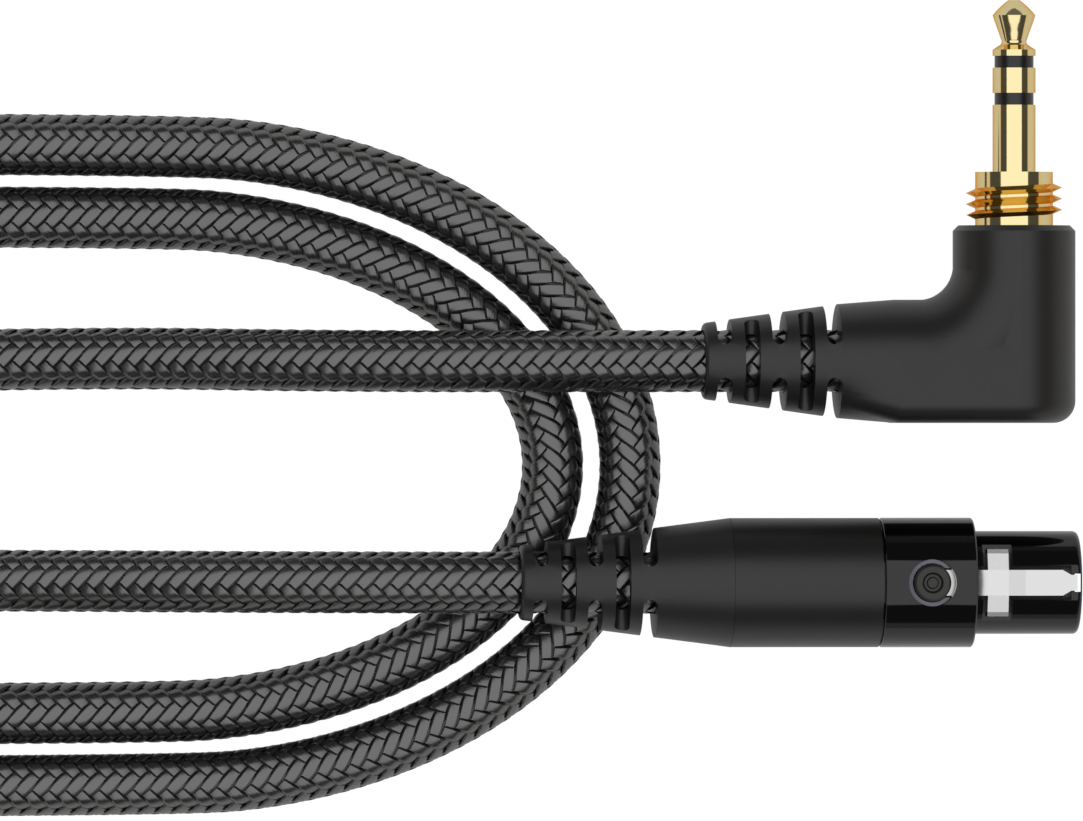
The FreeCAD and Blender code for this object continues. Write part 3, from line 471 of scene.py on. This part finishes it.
@dataclass
class CableRoute:
    """The route's control points, from inside the plug, round both loops, to inside the connector."""

    plug_start: np.ndarray
    plug_way: np.ndarray
    connector_start: np.ndarray
    connector_way: np.ndarray
    diameter: float = 5.1 * MM
    loop_gap: float = 0.8 * MM
    loops_y: float = -11.54 * MM
    outer_half_width: float = 26.2 * MM
    outer_reach: float = -13.4 * MM
    outer_turn: float = 37.7 * MM
    inner_reach: float = -19.75 * MM
    inner_turn: float = 33.0 * MM
    third_reach: float = -182.5 * MM
    third_turn_in: float = 25.5 * MM
    third_turn_out: float = 20.5 * MM
    left_turn: float = 21.0 * MM
    first_spread: float = 0.6 * MM
    lead_y: float = -4.0 * MM
    coil_start: float = -148.0 * MM
    climb_start: float = -131.0 * MM
    climb_corner: float = 3.8 * MM
    climb_side: float = 7.5 * MM
    crossing_height: float = 8.27 * MM
    coil_end: float = -155.0 * MM
    coil_exit: float = 14.0 * MM
    plug_reach: tuple[float, float] = (9.4 * MM, 32.5 * MM)
    connector_reach: tuple[float, float] = (58.5 * MM, 26.0 * MM)
    plug_route: tuple[Place, ...] = ((-36.0, -3.1, 8.5), (-60.5, -2.7, 3.0), (-106.0, -4.0, 2.55))
    connector_route: tuple[Place, ...] = ((-118.0, -21.6, 3.1), (-96.0, -21.0, 2.55), (-66.0, -20.9, 4.3))
    quarter_steps: int = 6
    straight_share: float = 0.999

    def coil(self) -> np.ndarray:
        """Points of the two loops and of the third turn, which climbs and crosses over the others.

        A run is straight where nearly all of it, by straight_share, goes the way that it starts.

        Returns:
            The points, as rows.
        """
        floor = self.diameter / 2.0
        pitch = self.diameter + self.loop_gap
        inner_half = self.outer_half_width - pitch
        second_reach = self.third_reach + pitch
        first_reach = second_reach + pitch + self.first_spread
        left, right = np.array([-1.0, 0.0, 0.0]), np.array([1.0, 0.0, 0.0])
        up, down = np.array([0.0, 1.0, 0.0]), np.array([0.0, -1.0, 0.0])
        start = [self.coil_start, self.lead_y, floor]
        rows = [np.array([start, [first_reach + self.left_turn, self.lead_y, floor]])]
        entry = self.lead_y
        loops = (
            (inner_half, self.inner_reach, self.inner_turn, first_reach, second_reach + self.left_turn),
            (self.outer_half_width, self.outer_reach, self.outer_turn, second_reach, self.climb_start),
        )
        for half, reach, turn, left_reach, straight_end in loops:
            low, high = self.loops_y - half, self.loops_y + half
            corners = (
                (left, np.array([left_reach, (entry + low) / 2.0, floor])),
                (down, np.array([left_reach + self.left_turn, low, floor])),
                (right, np.array([reach - turn, low, floor])),
                (right, np.array([reach, self.loops_y, floor])),
                (up, np.array([reach - turn, high, floor])),
                (left, np.array([straight_end, high, floor])),
            )
            for way, corner in corners:
                run = corner - rows[-1][-1]
                straight = abs(way @ run) > self.straight_share * np.linalg.norm(run)
                steps = 1 if straight else self.quarter_steps
                rows.append(quarter_turn(rows[-1][-1], way, corner, steps))
            entry = high
        third_in = np.array([self.third_reach + self.third_turn_in, entry, self.climb_corner])
        side = np.array([self.third_reach, (entry + self.connector_start[1]) / 2.0, self.climb_side])
        over = [self.third_reach + self.third_turn_out, self.connector_start[1], self.crossing_height]
        rows.append(third_in[np.newaxis])
        rows.append(quarter_turn(third_in, left, side, self.quarter_steps))
        rows.append(quarter_turn(side, down, np.array(over), self.quarter_steps))
        return np.vstack(rows)

    def points(self) -> np.ndarray:
        """Every control point of the cable, in order.

        Returns:
            The points, as rows.
        """
        over = np.array([self.coil_end, self.connector_start[1], self.crossing_height])
        plug = [self.plug_start + reach * self.plug_way for reach in self.plug_reach]
        connector = [self.connector_start + reach * self.connector_way for reach in self.connector_reach]
        return np.vstack([
            plug,
            MM * np.array(self.plug_route),
            self.coil(),
            over[np.newaxis],
            (over + np.array([self.coil_exit, 0.0, 0.0]))[np.newaxis],
            MM * np.array(self.connector_route),
            connector,
        ])


class Line:
    """A smooth line in space, with an upright frame along it."""

    def __init__(self, points: np.ndarray) -> None:
        """Take the line's points and measure along them.

        Args:
            points: The points, as rows.
        """
        runs = np.linalg.norm(np.diff(points, axis=0), axis=1)
        self.along = np.concatenate([[0.0], np.cumsum(runs)])
        self.length = float(self.along[-1])
        self.points = points
        tangent = np.gradient(points, self.along, axis=0)
        self.tangent = tangent / np.linalg.norm(tangent, axis=1, keepdims=True)
        side = np.cross(np.array([0.0, 0.0, 1.0]), self.tangent)
        self.side = side / np.linalg.norm(side, axis=1, keepdims=True)
        self.up = np.cross(self.tangent, self.side)

    def around(self, along: np.ndarray, angle: np.ndarray, radius: np.ndarray) -> np.ndarray:
        """Points at a distance along the line, an angle from its upper side and a radius.

        The place is centre + radius (cos angle up + sin angle side), read at each distance.

        Args:
            along: Distances from the line's start.
            angle: Angles from straight up towards the line's left, in radians.
            radius: Distances from the line.

        Returns:
            The points, with the arrays' shape and a last axis of three.
        """
        def read(table: np.ndarray) -> np.ndarray:
            """A table's rows, read between the line's points at each distance."""
            flat = [np.interp(along.ravel(), self.along, table[:, part]) for part in range(3)]
            return np.stack(flat, axis=-1).reshape(*along.shape, 3)

        outward = np.cos(angle)[..., None] * read(self.up) + np.sin(angle)[..., None] * read(self.side)
        return read(self.points) + radius[..., None] * outward


class StrandMesh:
    """Meshes of closed tubes from grids of points, with a map along and across each tube."""

    MAP = "strand_map"

    @classmethod
    def build(cls, name: str, grid: np.ndarray, waves: np.ndarray) -> bpy.types.Object:
        """Make one object of several tubes.

        Args:
            name: The object's name.
            grid: Points by tube, by step along and by place round the tube.
            waves: Count of the weave's waves by tube and by step, for the map.

        Returns:
            The object, linked to the scene.
        """
        tubes, steps, ring, _ = grid.shape
        number = np.arange(tubes * steps * ring).reshape(tubes, steps, ring)
        turned = np.roll(number, -1, axis=2)
        sides = np.stack([number[:, :-1], turned[:, :-1], turned[:, 1:], number[:, 1:]], axis=-1)
        first, last = number[:, 0], number[:, -1]
        half = ring // 2
        caps = [first[:, [0, ring - 1, half + 1, half]], last[:, [half, half + 1, ring - 1, 0]]]
        caps += [first[:, [half, half - 1, 1, 0]], last[:, [0, 1, half - 1, half]]]
        quads = np.concatenate([sides.reshape(-1, 4), *caps])
        mesh = bpy.data.meshes.new(name)
        mesh.from_pydata(grid.reshape(-1, 3), [], quads)
        across = np.arange(ring + 1) / ring
        low = np.broadcast_to(across[:-1], (tubes, steps - 1, ring))
        high = np.broadcast_to(across[1:], (tubes, steps - 1, ring))
        near = np.broadcast_to(waves[:, :-1, None], (tubes, steps - 1, ring))
        far = np.broadcast_to(waves[:, 1:, None], (tubes, steps - 1, ring))
        offset = np.arange(tubes)[:, None, None] * ring
        corners = [(near, low), (near, high), (far, high), (far, low)]
        uv = np.stack([np.stack([u, v + offset], axis=-1) for u, v in corners], axis=-2).reshape(-1, 2)
        uv = np.concatenate([uv, np.zeros((4 * sum(len(cap) for cap in caps), 2))])
        mesh.uv_layers.new(name=cls.MAP).data.foreach_set("uv", uv.ravel())
        mesh.shade_smooth()
        mesh.update()
        piece = bpy.data.objects.new(name, mesh)
        bpy.context.scene.collection.objects.link(piece)
        return piece


class Hand(Enum):
    """Which way a strand winds about the cable."""

    RIGHT = 1
    LEFT = -1


@dataclass
class Cable:
    """The braided cable: a jacket on one smooth spline, and flat strands over two and under two."""

    route: CableRoute
    strands: int = 10
    strand_pitch: float = 1.367 * MM
    strand_width: float = 1.15 * MM
    strand_thickness: float = 0.2 * MM
    crown: float = 0.05 * MM
    lift: float = 0.17 * MM
    steps_per_wave: int = 10
    first_band_deg: float = -19.5
    twist_deg: float = 21.0
    jacket_radius: float = 2.14 * MM
    declared_length: float = 1.1
    group: int = 2
    wave_crossings: float = 4.0
    first_top: float = 0.5
    section_places: tuple[float, ...] = (-1.0, -0.55, 0.0, 0.55, 1.0, 0.0)
    section_heights: tuple[float, ...] = (0.0, 0.75, 1.0, 0.75, 0.0, 0.0)
    spline_steps: int = 12
    jacket_steps: int = 4
    line: Line = field(init=False)

    def _curve(self, name: str) -> bpy.types.Object:
        """One open spline of third order on the route's control points.

        Args:
            name: The object's name.

        Returns:
            The curve's object, linked to the scene.
        """
        points = self.route.points()
        curve = bpy.data.curves.new(name, "CURVE")
        curve.dimensions = "3D"
        curve.resolution_u = self.spline_steps
        curve.use_fill_caps = True
        spline = curve.splines.new("NURBS")
        spline.points.add(len(points) - 1)
        spline.points.foreach_set("co", np.hstack([points, np.ones((len(points), 1))]).ravel())
        spline.order_u = 3
        spline.use_endpoint_u = True
        piece = bpy.data.objects.new(name, curve)
        bpy.context.scene.collection.objects.link(piece)
        return piece

    def _read_line(self, jacket: bpy.types.Object) -> Line:
        """The spline's own points, as Blender gives them for a curve with no bevel.

        Args:
            jacket: The curve's object.

        Returns:
            The line.
        """
        depsgraph = bpy.context.evaluated_depsgraph_get()
        mesh = bpy.data.meshes.new_from_object(jacket.evaluated_get(depsgraph))
        flat = np.zeros(3 * len(mesh.vertices))
        mesh.vertices.foreach_get("co", flat)
        bpy.data.meshes.remove(mesh)
        return Line(flat.reshape(-1, 3))

    def _crossings(self, hand: Hand, numbers: np.ndarray, along: np.ndarray) -> np.ndarray:
        """Count of crossings at each step: two for each pitch along and for each strand round."""
        return 2.0 * hand.value * along / self.strand_pitch + 2.0 * numbers[:, None]

    def _waves(self, hand: Hand, numbers: np.ndarray, along: np.ndarray) -> np.ndarray:
        """Count of waves at each step of some strands: a strand is on top at each whole number."""
        top = self.first_top + (0.0 if hand is Hand.RIGHT else self.wave_crossings / 2.0)
        return (self._crossings(hand, numbers, along) - top) / self.wave_crossings

    def _strand_grid(self, hand: Hand, numbers: np.ndarray, along: np.ndarray) -> np.ndarray:
        """Points of some strands.

        A strand winds steadily: its angle is hand times the distance over the braid's lead. The crossings
        that it passes are counted from the lowest band, and its height is a cosine of that
        count, high over two crossings and low under the next two.

        Args:
            hand: Which way the strands wind.
            numbers: The strands' numbers.
            along: Distances along the line.

        Returns:
            Points by strand, by step and round the strand's section.
        """
        middle = self.route.diameter / 2.0 - self.lift - self.crown
        lead = self.strands * self.strand_pitch
        slope = math.atan2(2.0 * math.pi * middle, lead)
        width = np.array(self.section_places) * self.strand_width / 2.0
        height = np.array(self.section_heights) * self.crown
        height[-1] = self.crown - self.strand_thickness
        if hand is Hand.LEFT:
            width = -width
        step = along[None, :, None]
        crossing = self._crossings(hand, numbers, along)[..., None]
        rise = self.lift * np.cos(2.0 * math.pi * self._waves(hand, numbers, along))[..., None]
        across = width[None, None, :]
        place = step - hand.value * across * math.sin(slope)
        place = np.clip(place, 0.0, self.line.length)
        band = np.radians(self.first_band_deg + self.twist_deg * step / self.line.length)
        angle = math.pi / self.strands * crossing + band + across * math.cos(slope) / middle
        radius = middle + rise + height[None, None, :]
        places, angles = (np.broadcast_to(values, radius.shape) for values in (place, angle))
        return self.line.around(places, angles, radius)

    def _wind(self, finish: bpy.types.Material) -> list[bpy.types.Object]:
        """Every strand, in pieces of a few strands each.

        Args:
            finish: The strands' material.

        Returns:
            The pieces.
        """
        wave = 2.0 * self.strand_pitch
        steps = int(round(self.line.length / wave * self.steps_per_wave))
        along = np.linspace(0.0, self.line.length, steps)
        pieces = []
        for hand in Hand:
            for first in range(0, self.strands, self.group):
                numbers = np.arange(first, first + self.group)
                grid = self._strand_grid(hand, numbers, along)
                name = f"{hand.name.lower()}_hand_strands_{first // self.group + 1}"
                piece = StrandMesh.build(name, grid, self._waves(hand, numbers, along))
                piece.data.materials.append(finish)
                pieces.append(piece)
        return pieces

    def build(self, finishes: Finishes) -> None:
        """Args:
            finishes: The lead's finishes.
        """
        jacket = self._curve("cable_jacket")
        self.line = self._read_line(jacket)
        jacket.data.bevel_depth = self.jacket_radius
        jacket.data.bevel_resolution = self.jacket_steps
        jacket.data.materials.append(finishes.jacket.material())
        strands = self._wind(finishes.yarn.material())
        for piece in [jacket, *strands]:
            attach(piece, "lead")
            LOG.info("%s made", piece.name)
        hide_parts("plug_lead", "cable_coil", "connector_lead")
        LOG.info("cable line is %.4f m long", self.line.length)


# Camera, light and floor


@dataclass
class Studio:
    """A square softbox straight above, pale sides left and right, and a white floor."""

    photo_width: float = 88.15 * MM
    centre: tuple[float, float] = (-20.93 * MM, -7.08 * MM)
    camera_height: float = 2.0
    subject_height: float = 5.0 * MM
    sensor: float = 36.0
    softbox_half_angle: float = 41.4
    softbox_level: float = 1.25
    dark_level: float = 0.08
    side_level: float = 0.72
    side_colour: Colour = (1.0, 0.82, 0.62)
    lower_level: float = 0.2
    horizon: float = 0.24
    floor_size: float = 12.0
    floor_glow: float = 0.88
    floor_gloss: float = 0.3
    floor_grey: float = 0.8
    floor_strength: float = 1.12
    far_clip: float = 100.0
    softbox_edge: float = 40.0
    horizon_edge: float = 20.0
    side_start: float = 0.4
    side_edge: float = 2.5
    behind_fall: float = 0.6
    least_square: float = 1e-6

    def camera(self) -> None:
        """A long lens that looks straight down on the photograph's centre."""
        data = bpy.data.cameras.new("camera")
        distance = self.camera_height - self.subject_height
        data.sensor_width = self.sensor
        data.lens = self.sensor * distance / self.photo_width
        data.clip_end = self.far_clip
        camera = bpy.data.objects.new("camera", data)
        camera.location = (*self.centre, self.camera_height)
        bpy.context.scene.collection.objects.link(camera)
        bpy.context.scene.camera = camera

    def world(self) -> None:
        """White to the camera. To light and gloss, a softbox in a dark room with pale side walls."""
        world = bpy.data.worlds.new("studio")
        bpy.context.scene.world = world
        nodes = NodeTree(world)
        way = nodes.value(nodes.add("ShaderNodeTexCoord"), "Generated")
        parts = nodes.add("ShaderNodeSeparateXYZ", {}, {0: way})
        x, y, z = (nodes.value(parts, index) for index in range(3))
        rays = nodes.add("ShaderNodeLightPath")
        seen = nodes.value(rays, "Is Camera Ray")
        through = nodes.value(rays, "Is Transmission Ray")
        reach = math.tan(math.radians(self.softbox_half_angle))
        in_x = nodes.clamp(self.softbox_edge * (reach * z - nodes.math("ABSOLUTE", x)))
        in_y = nodes.clamp(self.softbox_edge * (reach * z - nodes.math("ABSOLUTE", y)))
        softbox = in_x * in_y
        flat = nodes.math("SQRT", x * x + y * y + self.least_square)
        sideways = nodes.clamp(self.side_edge * (nodes.math("ABSOLUTE", x) / flat - self.side_start))
        low = nodes.clamp(self.horizon_edge * (self.horizon - z))
        behind = self.lower_level * (1.0 - self.behind_fall * (y / flat))
        wall = sideways * self.side_level + (1.0 - sideways) * behind
        level = softbox * self.softbox_level + (1.0 - softbox) * (self.dark_level + low * wall)
        white = nodes.clamp(seen + through)
        strength = white + (1.0 - white) * level
        warmth = nodes.clamp((1.0 - white) * low * sideways)
        colour = nodes.mix(warmth, opaque((1.0, 1.0, 1.0)), opaque(self.side_colour))
        background = nodes.add("ShaderNodeBackground", {}, {"Color": colour, "Strength": strength})
        nodes.finish(background, "ShaderNodeOutputWorld")

    def floor(self) -> None:
        """A floor that is white to the camera, with a faint shadow, and a pale grey to gloss."""
        half = self.floor_size / 2.0
        mesh = bpy.data.meshes.new("floor")
        corners = [(-half, -half, 0.0), (half, -half, 0.0), (half, half, 0.0), (-half, half, 0.0)]
        mesh.from_pydata(corners, [], [(0, 1, 2, 3)])
        floor = bpy.data.objects.new("floor", mesh)
        bpy.context.scene.collection.objects.link(floor)
        material = bpy.data.materials.new("floor_white")
        nodes = NodeTree(material)
        rays = nodes.add("ShaderNodeLightPath")
        seen = nodes.clamp(nodes.value(rays, "Is Camera Ray") + nodes.value(rays, "Is Transmission Ray"))
        share = self.floor_glow * seen + self.floor_gloss * nodes.value(rays, "Is Glossy Ray")
        grey = opaque((self.floor_grey, self.floor_grey, self.floor_grey))
        matt = nodes.value(nodes.add("ShaderNodeBsdfDiffuse", {}, {"Color": grey}))
        glow = nodes.value(nodes.add("ShaderNodeEmission", {}, {"Strength": self.floor_strength}))
        nodes.finish(nodes.add("ShaderNodeMixShader", {}, {0: share, 1: matt, 2: glow}))
        mesh.materials.append(material)
        floor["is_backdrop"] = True

    def build(self) -> None:
        """Set up the camera, the light and the floor."""
        self.camera()
        self.world()
        self.floor()
        bpy.context.scene.view_settings.view_transform = "Standard"


class Lead:
    """The whole lead: its cable, and the frame's pieces in their finishes."""

    def __init__(self, frame: Frame) -> None:
        """Hold the frame and the finishes."""
        self.frame = frame
        self.finishes = Finishes()

    def route(self) -> CableRoute:
        """The cable's route, from the places of the plug's pin and the connector's contacts.

        Returns:
            The route.
        """
        tilt = math.radians(PlugSizes.tilt_deg)
        pin = self.frame.place("jack_pin")
        pin[1] -= PlugSizes.pin_height
        nose = self.frame.axis("connector_contacts")
        front = self.frame.place("connector_contacts") + ConnectorSizes.contact_recess * nose
        return CableRoute(pin, np.array([-math.cos(tilt), 0.0, math.sin(tilt)]), front, -nose)

    def dress(self) -> None:
        """Give each of the frame's pieces its finish."""
        look = self.finishes
        wardrobe = (
            (look.gold, ("jack_tip", "jack_ring", "jack_sleeve", "contact_1", "contact_2", "contact_3")),
            (look.black_band, ("tip_insulator", "ring_insulator")),
            (look.brass, ("sleeve_tag", "ring_tag", "tip_tag", "cable_clamp")),
            (look.washer, ("ring_washer", "tip_washer")),
            (look.housing, ("plug_housing", "connector_insert")),
            (look.soft_black, ("elbow_cover", "connector_boot")),
            (look.satin_black, ("connector_sleeve",)),
            (look.gloss_black, ("connector_shell",)),
            (look.steel, ("latch",)),
            (look.button, ("button",)),
            (look.guide, ("button_guide",)),
            (look.spring, ("button_spring",)),
            (look.ground, ("plug_wire_ground", "connector_wire_1")),
            (look.right, ("plug_wire_right", "connector_wire_2")),
            (look.left, ("plug_wire_left", "connector_wire_3")),
        )
        for finish, nodes in wardrobe:
            self.frame.dress(finish.material(), nodes)

    def build(self) -> None:
        """Make the cable and dress the rest."""
        Cable(self.route()).build(self.finishes)
        self.dress()


def main() -> None:
    """Build the studio and the lead."""
    logging.basicConfig(level=logging.INFO, format="%(message)s")
    frame = Frame()
    Studio().build()
    Lead(frame).build()


if __name__ == "__main__":
    main()
